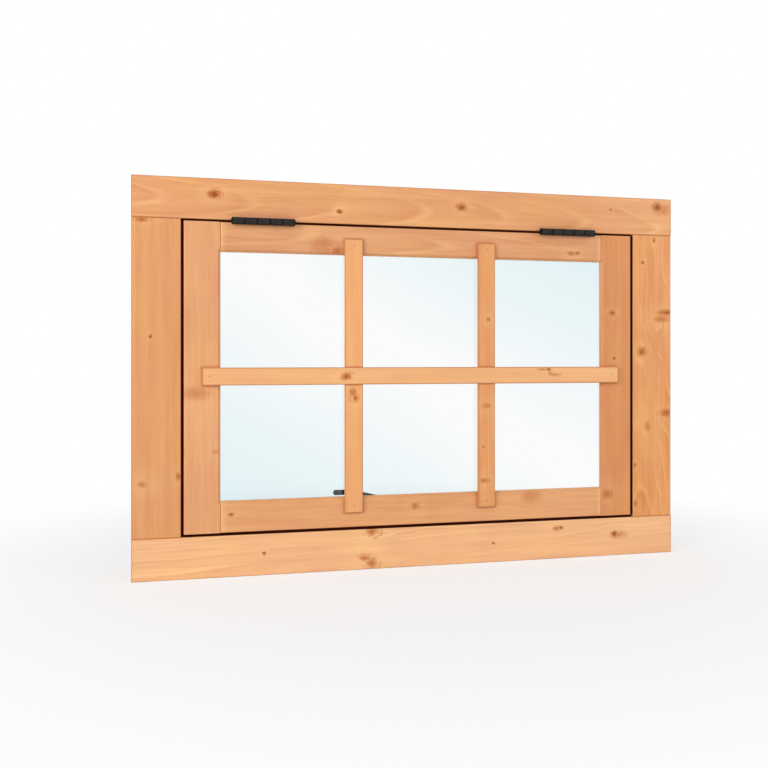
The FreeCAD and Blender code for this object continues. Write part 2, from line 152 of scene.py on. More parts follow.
# Knots are (along the grain, across it, half length, half width, faintness). A knot of faintness 0 has a dark core, one
# of 0.7 only a brown rim, and one of 1.2 is no more than a smudge.
BOARDS = (
    Timber(
        "frame_head", False, (602, 75), ring=5.0, wander=24, lines=1.2, lean=0.02, rise=0.035, arris=0.5,
        knots=((-339, 605, 7.8, 5.4, 0), (-138, 585, 4.2, 3, 0), (71, 600, 6.6, 4.8, 0.1), (347, 607, 1.9, 1.7, 0),
               (438, 615, 7.8, 6.6, 0), (452, 611, 10.8, 7.2, 1.15))),
    Timber(
        "frame_sill", False, (8, 95), ring=5.0, wander=22, lines=1.7, lean=-0.015, rise=-0.008, arris=0.5,
        knots=((-260, 35, 2.4, 2.2, 0), (-84, 62, 8, 6, 0.72), (-84, 10, 7, 6.5, 0.66), (-96, 19, 7, 3.5, 0.7),
               (252, 53, 3.1, 2.6, 0.2), (243, 52, 4.8, 3.6, 0.9), (128, 32, 2.4, 2, 0.4), (354, 38, 4.8, 4.2, 0),
               (363, 36, 10.8, 5.4, 1.15))),
    Timber(
        "left_jamb", True, (-330, 60), ring=4.4, wander=8, lines=0.6, arris=0.8,
        knots=((561, -449, 3, 7.2, 0.5), (380, -436, 2.4, 2.2, 0.1), (151, -449, 3.6, 5.4, 1.05),
               (162, -394, 4.5, 2.6, 0.5))),
    Timber(
        "right_jamb", True, (424, 80), ring=5.0, wander=26, lines=1.3, lean=0.03, rise=0.045, arris=0.8,
        knots=((556, 431, 3.6, 2.4, 0.4), (516, 409, 2.4, 2.4, 0), (428, 457, 4.2, 13.2, 0.3),
               (416, 447, 4.8, 10.8, 0.9), (358, 407, 6.5, 6, 0.25), (249, 455, 5.4, 8.4, 0.45),
               (225, 418, 7.2, 4.8, 1.15), (157, 394, 3, 2.4, 0.5), (89, 395, 3.6, 2.4, 0.6))),
    Timber(
        "sash_left_stile", True, (-260, 50), ring=4.4, wander=6, lines=0.7, planted=(CROSS_BAR,),
        knots=((291, -367, 8, 18, 1.22), (199, -337, 3, 4.2, 1.2))),
    Timber(
        "sash_right_stile", True, (305, 70), ring=5.0, wander=14, lines=0.3, lean=0.02, rise=0.015,
        planted=(CROSS_BAR,),
        knots=((426, 350, 3.6, 4.8, 0.1), (346, 354, 2.6, 2.6, 0.1), (108, 341, 6, 7.5, 0.85))),
    Timber(
        "sash_top_rail", False, (546, 60), ring=4.5, wander=22, lines=1.2, lean=0.05, rise=0.02,
        shoulders=STILES, planted=UPRIGHTS,
        knots=((-142, 522, 7.2, 4.8, 0.7), (-165, 531, 16.8, 10.8, 1.25), (272, 528, 4.8, 3, 0.5),
               (283, 529, 3.6, 2.4, 0.3))),
    Timber(
        "sash_bottom_rail", False, (62, 60), ring=5.0, wander=14, lines=0.8, lean=0.02, rise=0.01,
        shoulders=STILES, planted=UPRIGHTS,
        knots=((-312, 99, 3.6, 2.2, 0.2), (-10, 101, 4.8, 4.2, 0.7), (197, 109, 14.4, 8.4, 1.25))),
    Timber(
        CROSS_BAR, False, (270, 40), ring=4.5, wander=8, lines=0.8, lean=0.01, arris=0.7,
        knots=((-128, 317, 6.6, 4.6, 0.35), (226, 327, 3.4, 2.4, 0.1), (229, 320, 2.6, 2.4, 0.85),
               (214, 327, 7, 2, 1.08), (238, 318, 9, 2.2, 1.15))),
    Timber(
        "upright_bar_left", True, (-60, 40), ring=4.5, wander=8, lines=0.7, arris=0.7, crossed_by=CROSS_BAR,
        knots=((281, -113, 3.6, 3.2, 0.3), (291, -120, 4.5, 1.8, 0.6), (290, -116, 7, 4.6, 0.78))),
    Timber(
        "upright_bar_right", True, (180, 40), ring=4.5, wander=8, lines=0.9, lean=0.01, arris=0.7,
        crossed_by=CROSS_BAR,
        knots=((412, 117, 2.8, 2.8, 0.8), (266, 114, 3.4, 6, 1.15), (197, 108, 1.8, 1.5, 0.2),
               (140, 110, 3.2, 7, 0.82))),
    Timber("bead_bottom", False, (160, 30), ring=4.0, wander=6, lines=0.6),
    Timber("bead_top", False, (450, 30), ring=4.0, wander=6, lines=0.6),
    Timber("bead_left", True, (-270, 30), ring=4.0, wander=6, lines=0.6),
    Timber("bead_right", True, (270, 30), ring=4.0, wander=6, lines=0.6),
)

# Size of each pattern along the grain, across it and into the board, in millimetres, its noise detail, and its share
# in the tint. Real fibres are a few hundredths of a millimetre wide; they are drawn 2 mm wide so that they show.
FIGURE = (
    ("cloud", (120, 38, 60), 3.0, 0.55),
    ("streak", (220, 10, 12), 4.0, 0.95),
    ("fibre", (55, 2.2, 2.2), 3.0, 0.5),
    ("blush", (110, 50, 60), 2.0, 0.0),
    ("fade", (240, 30, 40), 1.0, 0.0),
    ("wander", (260, 60, 70), 3.0, 0.0),
    ("ragged", (6, 4, 8), 2.0, 0.0),
    ("broken", (16, 12, 20), 1.0, 0.0),
)
# From one board to the next, every pattern moves on by this many of its own sizes.
BOARD_STEP = (7.3, 3.1, 5.7)

# A year's growth from its early to its late wood: above the middle darkens the stain, below it is a pale line.
GROWTH_MIDDLE = 0.5
GROWTH_STOPS = ((0.0, grey(0.5)), (0.5, grey(0.6)), (0.76, grey(0.8)), (0.88, grey(0.0)), (1.0, grey(0.5)))

# A knot's ramps reach out to four times its half size, its rim of bark lies a little under twice that size, and it
# runs 70 mm into the board. A knot of faintness 0.8 or more has no rim, and one of 1.6 would not show at all.
KNOT_SPAN = 4.0
KNOT_DEPTH = 70.0
KNOT_FAINTEST = 1.6
KNOT_RAGGED = 1.4
RIM_FAINTNESS = 0.8
RIM_STOPS = ((0.4, grey(0.0)), (0.46, grey(0.5)), (0.52, grey(0.0)))
NO_KNOT = 9.0


def knot_bands(look):
    """Place on the ramp, colour and cover of a knot's bands from its core outwards."""
    return (
        (0.0, look.knot_core, 1.0), (0.11, look.knot_core, 1.0), (0.19, look.knot, 0.92),
        (0.28, look.knot_edge, 0.68), (0.36, look.knot_edge, 0.3), (0.43, look.pale_stain, 0.1),
        (0.55, look.pale_stain, 0.09), (1.0, look.pale_stain, 0.0))


def grain_place(tree, spot, upright):
    """A point's place along the grain, across it and into the board, in millimetres."""
    axes = add(tree, "ShaderNodeSeparateXYZ", {0: spot}).outputs
    order = ("Z", "X", "Y") if upright else ("X", "Z", "Y")
    metres = add(tree, "ShaderNodeCombineXYZ", {i: axes[axis] for i, axis in enumerate(order)})
    return add(tree, "ShaderNodeVectorMath", {0: metres, "Scale": 1 / MM}, operation="SCALE")


def board_figure(tree, place, seed):
    """Every pattern of FIGURE, on a stretch that no other board has."""
    figure = {}
    for name, size, detail, _ in FIGURE:
        spread = add(tree, "ShaderNodeMapping", {
            "Vector": place, "Location": [seed * step for step in BOARD_STEP], "Scale": [1 / s for s in size]})
        figure[name] = add(tree, "ShaderNodeTexNoise", {
            "Vector": spread, "Scale": 1.0, "Detail": detail, "Roughness": 0.55})
    return figure


def knot_reach(tree, knot, away, ragged):
    """How far out of a knot a point lies, in half sizes of the knot; a faint knot starts further out."""
    _, _, length, width, faint = knot
    shape = add(tree, "ShaderNodeVectorMath", {
        0: away, 1: (1 / length, 1 / width, 1 / KNOT_DEPTH)}, operation="MULTIPLY")
    reach = add(tree, "ShaderNodeVectorMath", {0: shape}, operation="LENGTH").outputs["Value"]
    reach = add(tree, "ShaderNodeMath", {0: reach, 1: ragged}, operation="ADD")
    return add(tree, "ShaderNodeMath", {
        0: reach, 1: 1 - faint / KNOT_FAINTEST, 2: faint}, operation="MULTIPLY_ADD")


def knot_bend(tree, width, away):
    """How far a knot pushes the growth lines aside, in millimetres; the bend is twice as long as it is wide."""
    swell = add(tree, "ShaderNodeVectorMath", {
        0: away, 1: (0.25 / width, 0.5 / width, 0)}, operation="MULTIPLY")
    swell = add(tree, "ShaderNodeVectorMath", {0: swell}, operation="LENGTH").outputs["Value"]
    pull = add(tree, "ShaderNodeMapRange", {
        "Value": swell, "From Min": 0.0, "From Max": 2.4, "To Min": 0.85, "To Max": 0.0},
        interpolation_type="SMOOTHSTEP")
    side = add(tree, "ShaderNodeSeparateXYZ", {0: away}).outputs["Y"]
    return add(tree, "ShaderNodeMath", {0: pull, 1: side}, operation="MULTIPLY")


def knot_fields(tree, board, place, figure, line):
    """The growth lines bent round the knots, and how far out of the nearest knot, and of the nearest one with a rim,
    a point lies."""
    ragged = add(tree, "ShaderNodeMath", {
        0: figure["ragged"], 1: KNOT_RAGGED, 2: -KNOT_RAGGED / 2}, operation="MULTIPLY_ADD")
    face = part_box(board.node)[0].y / MM
    nearest = rimmed = NO_KNOT
    for knot in board.knots:
        along, across, _, width, faint = knot
        away = add(tree, "ShaderNodeVectorMath", {0: place, 1: (along, across, face)}, operation="SUBTRACT")
        reach = knot_reach(tree, knot, away, ragged)
        nearest = add(tree, "ShaderNodeMath", {0: reach, 1: nearest}, operation="MINIMUM")
        if faint < RIM_FAINTNESS:
            rimmed = add(tree, "ShaderNodeMath", {0: reach, 1: rimmed}, operation="MINIMUM")
        line = add(tree, "ShaderNodeMath", {0: line, 1: knot_bend(tree, width, away)}, operation="SUBTRACT")
    return line, nearest, rimmed


def growth_rings(tree, board, along, depth, line):
    """The growth rings about the tree's heart: above zero in dark late wood, below it in a pale line."""
    level = add(tree, "ShaderNodeMath", {0: along, 1: -board.rise, 2: depth}, operation="MULTIPLY_ADD")
    section = add(tree, "ShaderNodeCombineXYZ", {"Y": line, "Z": level})
    from_heart = add(tree, "ShaderNodeVectorMath", {0: section, 1: (0, *board.heart)}, operation="SUBTRACT")
    radius = add(tree, "ShaderNodeVectorMath", {0: from_heart}, operation="LENGTH").outputs["Value"]
    rings = add(tree, "ShaderNodeMath", {0: radius, 1: board.ring}, operation="DIVIDE")
    ring = add(tree, "ShaderNodeMath", {0: rings}, operation="FRACT")
    growth = add(tree, "ShaderNodeValToRGB", {0: ring}, stops=GROWTH_STOPS)
    return add(tree, "ShaderNodeMath", {0: growth, 1: GROWTH_MIDDLE}, operation="SUBTRACT")


def stain_tint(tree, board, look, figure, growth):
    """How deep the stain looks, from 0 at its palest to 1; the growth lines fade in and out in it."""
    strength = look.ring_contrast * board.lines
    present = add(tree, "ShaderNodeMapRange", {
        "Value": figure["fade"], "From Min": 0.4, "From Max": 0.68, "To Min": 0.15 * strength,
        "To Max": strength}, interpolation_type="SMOOTHSTEP")
    liveliness = 0.5 + 0.4 * board.lines
    tint = 0.5 - liveliness * sum(share for *_, share in FIGURE) / 2
    for name, _, _, share in FIGURE:
        if share:
            tint = add(tree, "ShaderNodeMath", {
                0: figure[name], 1: share * liveliness, 2: tint}, operation="MULTIPLY_ADD")
    return add(tree, "ShaderNodeMath", {0: growth, 1: present, 2: tint}, operation="MULTIPLY_ADD")


def stain_colour(tree, tone, look, tint, blush):
    """The board's own tone between pale and deep stain, with yellow and rose blushes."""
    patch = add(tree, "ShaderNodeMapRange", {"Value": blush, "From Min": 0.3, "From Max": 0.7})
    ends = []
    for stain, share in ((look.pale_stain, 0.4), (look.deep_stain, 0.35)):
        end = towards(tone, stain, share)
        yellow, rose = [
            opaque(c * k for c, k in zip(end, cast)) for cast in (look.yellow_blush, look.rose_blush)]
        end = add(tree, "ShaderNodeMix", {0: patch, 6: yellow, 7: rose}, data_type="RGBA")
        ends.append(end.outputs[2])
    return add(tree, "ShaderNodeMix", {0: tint, 6: ends[0], 7: ends[1]}, data_type="RGBA").outputs[2]


def with_knots(tree, wood, look, figure, nearest, rimmed):
    """The wood with its knots, brown from the core outwards, and their broken rims of bark."""
    bands = knot_bands(look)
    spread = add(tree, "ShaderNodeMath", {0: nearest, 1: 1 / KNOT_SPAN}, operation="MULTIPLY")
    knot = add(tree, "ShaderNodeValToRGB", {0: spread}, stops=[(at, colour) for at, colour, _ in bands])
    cover = add(tree, "ShaderNodeValToRGB", {0: spread}, stops=[(at, grey(share)) for at, _, share in bands])
    wood = add(tree, "ShaderNodeMix", {0: cover, 6: wood, 7: knot}, data_type="RGBA").outputs[2]
    spread = add(tree, "ShaderNodeMath", {0: rimmed, 1: 1 / KNOT_SPAN}, operation="MULTIPLY")
    rim = add(tree, "ShaderNodeValToRGB", {0: spread}, stops=RIM_STOPS)
    part = add(tree, "ShaderNodeMapRange", {"Value": figure["broken"], "From Min": 0.45, "From Max": 0.62})
    rim = add(tree, "ShaderNodeMath", {0: rim, 1: part}, operation="MULTIPLY")
    return add(tree, "ShaderNodeMix", {
        0: rim, 6: wood, 7: opaque(look.knot_edge)}, data_type="RGBA").outputs[2]


def past_joints(tree, along, start, stop):
    """How far a point lies past the nearer of two joints, in millimetres, below zero between them."""
    away = add(tree, "ShaderNodeMath", {0: along, 1: (start + stop) / 2 / MM}, operation="SUBTRACT")
    away = add(tree, "ShaderNodeMath", {0: away}, operation="ABSOLUTE")
    return add(tree, "ShaderNodeMath", {0: away, 1: (stop - start) / 2 / MM}, operation="SUBTRACT")


def inside_box(tree, spot, node):
    """How far inside a piece's box a point lies along each axis, in metres, below zero outside it."""
    low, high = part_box(node)
    offset = add(tree, "ShaderNodeVectorMath", {0: spot, 1: (low + high) / 2}, operation="SUBTRACT")
    offset = add(tree, "ShaderNodeVectorMath", {0: offset}, operation="ABSOLUTE")
    inside = add(tree, "ShaderNodeVectorMath", {0: (high - low) / 2, 1: offset}, operation="SUBTRACT")
    return add(tree, "ShaderNodeSeparateXYZ", {0: inside}).outputs


def on_face(tree, board, depth):
    """1 on a board's outer face, and 0 from 2 mm behind it."""
    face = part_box(board.node)[0].y / MM
    return add(tree, "ShaderNodeMapRange", {
        "Value": depth, "From Min": face + 1, "From Max": face + 2, "To Min": 1.0, "To Max": 0.0})


def with_shoulder_highlight(tree, wood, board, look, along):
    """The wood, paler towards the shoulders where it meets the pieces at its ends: a painted highlight."""
    left, right = (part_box(node) for node in board.shoulders)
    # Painted highlight, fading in from 10 mm to 3 mm before each shoulder.
    painted_highlight = add(tree, "ShaderNodeMapRange", {
        "Value": past_joints(tree, along, left[1].x, right[0].x), "From Min": -10.0, "From Max": -3.0,
        "To Max": 0.22}, interpolation_type="SMOOTHSTEP")
    return add(tree, "ShaderNodeMix", {
        0: painted_highlight, 6: wood, 7: opaque(look.pale_stain)}, data_type="RGBA").outputs[2]


def with_bar_shadow(tree, wood, board, look, spot, depth, bar):
    """The wood, darker round the foot of a bar that stands on it: a painted shadow of the bar."""
    x, _, z = inside_box(tree, spot, bar)
    under = add(tree, "ShaderNodeMath", {0: x, 1: z}, operation="MINIMUM")
    # Painted shadow: darkest within 1.4 mm of the bar's sides, gone by 3.6 mm, on the board's face only.
    painted_shadow = add(tree, "ShaderNodeMapRange", {
        "Value": under, "From Min": -3.6 * MM, "From Max": -1.4 * MM, "To Min": 0.0, "To Max": 0.42},
        interpolation_type="SMOOTHSTEP")
    painted_shadow = add(tree, "ShaderNodeMath", {0: painted_shadow, 1: on_face(tree, board, depth)}, operation="MULTIPLY")
    return add(tree, "ShaderNodeMix", {
        0: painted_shadow, 6: wood, 7: opaque(look.deep_stain)}, data_type="RGBA").outputs[2]


def with_edge_stain_and_shade(tree, wood, board, look, spot, along, depth, growth):
    """The wood, darker on its end grain, which drinks more stain, darker on its arrises, partly from stain that
    gathers there and partly as painted shade, and darker beside a halved bar as painted shade.
    """
    x, y, z = inside_box(tree, spot, board.node)
    least = add(tree, "ShaderNodeMath", {0: x, 1: y}, operation="MINIMUM")
    other = add(tree, "ShaderNodeMath", {0: x, 1: y}, operation="MAXIMUM")
    other = add(tree, "ShaderNodeMath", {0: other, 1: z}, operation="MINIMUM")
    second = add(tree, "ShaderNodeMath", {0: least, 1: other}, operation="MAXIMUM")
    # Darker arrises: partly stain that gathers there, partly painted shade.
    arris = add(tree, "ShaderNodeMapRange", {
        "Value": second, "From Min": 0.6 * MM, "From Max": 2.2 * MM, "To Min": board.arris, "To Max": 0.0},
        interpolation_type="SMOOTHSTEP")
    end = add(tree, "ShaderNodeMapRange", {
        "Value": z if board.upright else x, "From Min": 0.2 * MM, "From Max": 0.6 * MM, "To Min": 1.0,
        "To Max": 0.0})
    soak_and_shade = add(tree, "ShaderNodeMath", {0: growth, 1: 0.7, 2: 0.4}, operation="MULTIPLY_ADD")
    soak_and_shade = add(tree, "ShaderNodeMath", {0: soak_and_shade, 1: end}, operation="MULTIPLY")
    soak_and_shade = add(tree, "ShaderNodeMath", {0: soak_and_shade, 1: arris}, operation="MAXIMUM")
    # Painted shade on the board's face, next to the halved cross bar and fading out 2.4 mm past it.
    if board.crossed_by:
        start, stop = (corner.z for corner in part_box(board.crossed_by))
        joint = add(tree, "ShaderNodeMapRange", {
            "Value": past_joints(tree, along, start, stop), "From Min": 0.8, "From Max": 2.4,
            "To Min": board.arris, "To Max": 0.0})
        joint = add(tree, "ShaderNodeMath", {0: joint, 1: on_face(tree, board, depth)}, operation="MULTIPLY")
        soak_and_shade = add(tree, "ShaderNodeMath", {0: soak_and_shade, 1: joint}, operation="MAXIMUM")
    return add(tree, "ShaderNodeMix", {
        0: soak_and_shade, 6: wood, 7: opaque(look.deep_stain)}, data_type="RGBA").outputs[2]


def stained_spruce(board, tone, look, seed):
    """Planed spruce under an orange-brown satin stain: soft blushes between yellow and rose, long pale and dark
    streaks, pale growth lines that fade in and out, and brown knots with a pale halo that the lines bend round. The
    end grain drinks more stain and the arrises darken, partly from stain and partly as painted shade. Painted shade
    lies beside a halved bar, a painted shadow round the foot of a bar that stands on the board, and a painted
    highlight near the shoulders. The stain's film leaves a low, even sheen."""
    material, tree, shader = new_material(f"stained_spruce_{board.node}")
    spot = add(tree, "ShaderNodeTexCoord").outputs["Object"]
    place = grain_place(tree, spot, board.upright)
    along, across, depth = add(tree, "ShaderNodeSeparateXYZ", {0: place}).outputs
    figure = board_figure(tree, place, seed)

    line = add(tree, "ShaderNodeMath", {
        0: figure["wander"], 1: board.wander, 2: across}, operation="MULTIPLY_ADD")
    line = add(tree, "ShaderNodeMath", {0: along, 1: board.lean, 2: line}, operation="MULTIPLY_ADD")
    if board.knots:
        line, nearest, rimmed = knot_fields(tree, board, place, figure, line)
    growth = growth_rings(tree, board, along, depth, line)
    tint = stain_tint(tree, board, look, figure, growth)

    wood = stain_colour(tree, tone, look, tint, figure["blush"])
    if board.knots:
        wood = with_knots(tree, wood, look, figure, nearest, rimmed)
    # Painted highlight near the shoulders.
    if board.shoulders:
        wood = with_shoulder_highlight(tree, wood, board, look, along)
    # Painted shadow round the foot of each bar that stands on the board.
    for bar in board.planted:
        wood = with_bar_shadow(tree, wood, board, look, spot, depth, bar)
    # Darker end grain from stain, arrises darkened partly by stain and partly as painted shade, and painted shade
    # beside a halved bar.
    if board.arris:
        wood = with_edge_stain_and_shade(tree, wood, board, look, spot, along, depth, growth)
    tree.links.new(wood, shader.inputs["Base Color"])

    sheen = add(tree, "ShaderNodeMapRange", {
        "Value": tint, "To Min": look.roughness - 0.06, "To Max": look.roughness + 0.08})
    tree.links.new(sheen.outputs[0], shader.inputs["Roughness"])
    grain = add(tree, "ShaderNodeBump", {"Height": tint, "Strength": 0.35, "Distance": 0.15 * MM})
    tree.links.new(grain.outputs[0], shader.inputs["Normal"])
    shader.inputs["IOR"].default_value = 1.5
    return material


def float_glass(look):
    """Clear float glass: bright, with a faint blue tint. The blue cast deepens from a clear diagonal band towards two
    corners: a painted reflection of an even sky."""
    material, tree, shader = new_material("float_glass")
    low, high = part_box("glass_pane")
    half = (high - low) / 2
    place = add(tree, "ShaderNodeTexCoord").outputs["Object"]
    offset = add(tree, "ShaderNodeVectorMath", {0: place, 1: (low + high) / 2}, operation="SUBTRACT")
    # Painted sky reflection: the blue cast deepens away from a clear diagonal band.
    diagonal = add(tree, "ShaderNodeVectorMath", {
        0: offset, 1: (0.5 / half.x, 0, 0.5 / half.z)}, operation="DOT_PRODUCT").outputs["Value"]
    drift = add(tree, "ShaderNodeTexNoise", {"Vector": place, "Scale": 1 / (220 * MM), "Detail": 1.0})
    wave = add(tree, "ShaderNodeMath", {0: drift, 1: 0.3, 2: -0.15}, operation="MULTIPLY_ADD")
    band = add(tree, "ShaderNodeMath", {0: diagonal, 1: wave}, operation="ADD")
    away = add(tree, "ShaderNodeMath", {0: band}, operation="ABSOLUTE")
    cast = add(tree, "ShaderNodeValToRGB", {0: away}, stops=(
        (0.1, look.clear), (0.55, towards(look.clear, look.cast, 0.6)), (1.0, look.cast)))
    tree.links.new(cast.outputs[0], shader.inputs["Base Color"])
    shader.inputs["Transmission Weight"].default_value = 1.0
    shader.inputs["Roughness"].default_value = 0.0
    shader.inputs["IOR"].default_value = 1.52
    return material


def powder_coated_steel(name, colour, roughness, knuckles=None):
    """Powder coated mild steel: near black, satin, with a fine orange peel that breaks up its highlights. The joints
    of a hinge's knuckles are darkened, partly by oil and dust and partly as painted shade in the gaps between the
    knuckles; these are given as the hinge's distance from the middle and the knuckles' pitch."""
    material, tree, shader = new_material(name)
    place = add(tree, "ShaderNodeTexCoord").outputs["Object"]
    peel = add(tree, "ShaderNodeTexNoise", {"Vector": place, "Scale": 1 / (1.2 * MM), "Detail": 2.0})
    rub = add(tree, "ShaderNodeTexNoise", {"Vector": place, "Scale": 1 / (14 * MM), "Detail": 3.0})
    shade = add(tree, "ShaderNodeMix", {
        0: rub, 6: opaque(towards(colour, BLACK, 0.25)), 7: opaque(towards(colour, WHITE, 0.02))},
        data_type="RGBA")
    # Knuckle joints: partly oil and dust, partly painted shade in the gaps between the knuckles.
    if knuckles:
        middle, pitch = knuckles
        side = add(tree, "ShaderNodeSeparateXYZ", {0: place}).outputs["X"]
        side = add(tree, "ShaderNodeMath", {0: side}, operation="ABSOLUTE")
        side = add(tree, "ShaderNodeMath", {0: side, 1: middle}, operation="SUBTRACT")
        side = add(tree, "ShaderNodeMath", {0: side, 1: pitch / 2}, operation="PINGPONG")
        joint = add(tree, "ShaderNodeMapRange", {
            "Value": side, "From Min": pitch / 2 - 1.6 * MM, "From Max": pitch / 2 - 0.6 * MM, "To Max": 0.9})
        shade = add(tree, "ShaderNodeMix", {
            0: joint, 6: shade.outputs[2], 7: opaque(BLACK)}, data_type="RGBA")
    tree.links.new(shade.outputs[2], shader.inputs["Base Color"])
    satin = add(tree, "ShaderNodeMapRange", {
        "Value": rub, "To Min": roughness - 0.08, "To Max": roughness + 0.08})
    tree.links.new(satin.outputs[0], shader.inputs["Roughness"])
    bump = add(tree, "ShaderNodeBump", {"Height": peel, "Strength": 0.15, "Distance": 0.05 * MM})
    tree.links.new(bump.outputs[0], shader.inputs["Normal"])
    shader.inputs["Specular IOR Level"].default_value = 0.1
    return material


def epdm_rubber(look):
    """Extruded EPDM seal: a dull brown that is nearly black, with a trace of grey dust. It fills the gap round the sash
    as painted shade.
    """
    material, tree, shader = new_material("epdm_rubber")
    place = add(tree, "ShaderNodeTexCoord").outputs["Object"]
    dust = add(tree, "ShaderNodeTexNoise", {"Vector": place, "Scale": 1 / (6 * MM), "Detail": 3.0})
    shade = add(tree, "ShaderNodeMix", {
        0: dust, 6: opaque(look.seal), 7: opaque(towards(look.seal, DUST, 0.015))}, data_type="RGBA")
    tree.links.new(shade.outputs[2], shader.inputs["Base Color"])
    dull = add(tree, "ShaderNodeMapRange", {"Value": dust, "To Min": 0.75, "To Max": 0.95})
    tree.links.new(dull.outputs[0], shader.inputs["Roughness"])
    shader.inputs["Specular IOR Level"].default_value = 0.0
    return material


def zinc_plated_steel(look):
    """Bright zinc plated screw steel: pale grey metal with faint cloudy patches from the plating bath."""
    material, tree, shader = new_material("zinc_plated_steel")
    place = add(tree, "ShaderNodeTexCoord").outputs["Object"]
    cloud = add(tree, "ShaderNodeTexNoise", {"Vector": place, "Scale": 1 / (2.5 * MM), "Detail": 2.0})
    shade = add(tree, "ShaderNodeMix", {
        0: cloud, 6: opaque(towards(look.zinc, BLACK, 0.2)), 7: opaque(look.zinc)}, data_type="RGBA")
    tree.links.new(shade.outputs[2], shader.inputs["Base Color"])
    satin = add(tree, "ShaderNodeMapRange", {"Value": cloud, "To Min": 0.25, "To Max": 0.45})
    tree.links.new(satin.outputs[0], shader.inputs["Roughness"])
    shader.inputs["Metallic"].default_value = 1.0
    return material


def tone_property(label, code):
    """A colour setting for one finish."""
    return FloatVectorProperty(
        name=label, description=f"{label}, as it looks in plain light", subtype="COLOR", size=3,
        min=0.0, max=1.0, default=srgb(code))


def size_property(label, millimetres):
    """A length setting, held in metres."""
    return FloatProperty(
        name=label, description=f"{label} in the real object", subtype="DISTANCE", unit="LENGTH",
        min=0.0, default=millimetres * MM)


class TimberSettings(bpy.types.PropertyGroup):
    """Stain tones of the boards and the figure they share."""

    frame_head: tone_property("Head tone", "#dc9662")
    frame_sill: tone_property("Sill tone", "#f4bd8d")
    left_jamb: tone_property("Left jamb tone", "#d48b54")
    right_jamb: tone_property("Right jamb tone", "#dd8b46")
    sash_left_stile: tone_property("Left stile tone", "#dc9668")
    sash_right_stile: tone_property("Right stile tone", "#cc7536")
    sash_top_rail: tone_property("Top rail tone", "#d28c62")
    sash_bottom_rail: tone_property("Bottom rail tone", "#dd9766")
    upright_bar_left: tone_property("Left upright bar tone", "#efa86a")
    upright_bar_right: tone_property("Right upright bar tone", "#dd8f52")
    cross_bar: tone_property("Cross bar tone", "#f1b47a")
    beads: tone_property("Glazing bead tone", "#dd9766")
    pale_stain: tone_property("Palest stain", "#ffd292")
    deep_stain: tone_property("Deepest stain", "#b4622c")
    yellow_blush: FloatVectorProperty(
        name="Yellow blush", description="Share of each colour where the wood took the stain yellower", size=3,
        default=(1.02, 1.025, 0.93))
    rose_blush: FloatVectorProperty(
        name="Rose blush", description="Share of each colour where the wood took the stain redder", size=3,
        default=(0.985, 0.94, 1.0))
    knot: tone_property("Knot wood", "#ba6018")
    knot_edge: tone_property("Knot edge", "#b8661a")
    knot_core: tone_property("Knot core", "#904600")
    ring_contrast: FloatProperty(
        name="Ring contrast", description="How far growth lines stand out from the stain", min=0.0, max=2.0,
        default=0.6)
    roughness: FloatProperty(
        name="Roughness", description="Sheen of the dried stain", subtype="FACTOR", min=0.0, max=1.0, default=0.45)


class GlassSettings(bpy.types.PropertyGroup):
    """Colours of the glass; the blue cast is partly the glass's own tint and partly a painted sky reflection."""

    clear: tone_property("Clear glass", "#fafbfb")
    # Blue cast: partly the glass's own tint, partly a painted sky reflection towards two corners.
    cast: tone_property("Blue cast", "#e0f1f4")


class SteelSettings(bpy.types.PropertyGroup):
    """Colours of the coated steel and sizes of the small fixings."""

    hinge: tone_property("Hinge coating", "#222220")
    fastener: tone_property("Fastener coating", "#151516")
    zinc: tone_property("Screw plating", "#b9bbbd")
    # Near black seal: painted shade in the gap round the sash.
    seal: tone_property("Seal rubber", "#2e0b02")
    seal_setback: size_property("Seal setback behind the sash's face", 0.3)
    side_gap: size_property("Gap at the sash's sides", 4.2)
    top_gap: size_property("Gap above the sash", 3.4)
    bottom_gap: size_property("Gap below the sash", 4.4)
    brad_diameter: size_property("Brad head diameter", 2.4)
    plate_screw: size_property("Plate screw head diameter", 7.0)
    keeper_screw: size_property("Keeper screw head diameter", 5.0)


class StageSettings(bpy.types.PropertyGroup):
    """Camera, light and floor."""

    camera_place: FloatVectorProperty(
        name="Camera place", description="Where the camera stands", subtype="TRANSLATION", size=3,
        default=(-0.4274, -1.4905, 0.3461))
    camera_turn: FloatProperty(
        name="Camera turn", description="Turn of the level camera to the right of straight ahead", subtype="ANGLE",
        unit="ROTATION", default=math.radians(13.99))
    lens: FloatProperty(
        name="Lens", description="Focal length on a 36 mm sensor", subtype="DISTANCE_CAMERA", default=42.86)
    rise: FloatProperty(
        name="Lens shift", description="Vertical lens shift as a share of the frame", default=-0.0334)
    ambient: FloatProperty(
        name="Ambient light", description="Strength of the even light all round", min=0.0, default=0.55)
    key: FloatProperty(
        name="Key light", description="Power of the large lamp on the left", subtype="POWER", unit="POWER",
        min=0.0, default=65.0)
    fill: FloatProperty(
        name="Fill light", description="Power of the lamp on the right", subtype="POWER", unit="POWER",
        min=0.0, default=22.0)
    floor: tone_property("Floor", "#f6f6f6")


class WINDOW_OT_stain_timber(bpy.types.Operator):
    """Stains the frame, sash, beads and glazing bars"""

    bl_idname = "window.stain_timber"
    bl_label = "Stain timber"

    def execute(self, context):
        look = context.scene.window_timber
        for seed, board in enumerate(BOARDS, 1):
            tone = look.beads if board.node.startswith("bead") else getattr(look, board.node)
            dress(board.node, stained_spruce(board, tone, look, seed))
        return {"FINISHED"}


class WINDOW_OT_glaze(bpy.types.Operator):
    """Gives the pane its glass"""

    bl_idname = "window.glaze"
    bl_label = "Glaze sash"

    def execute(self, context):
        dress("glass_pane", float_glass(context.scene.window_glass))
        return {"FINISHED"}


KNUCKLES = 5


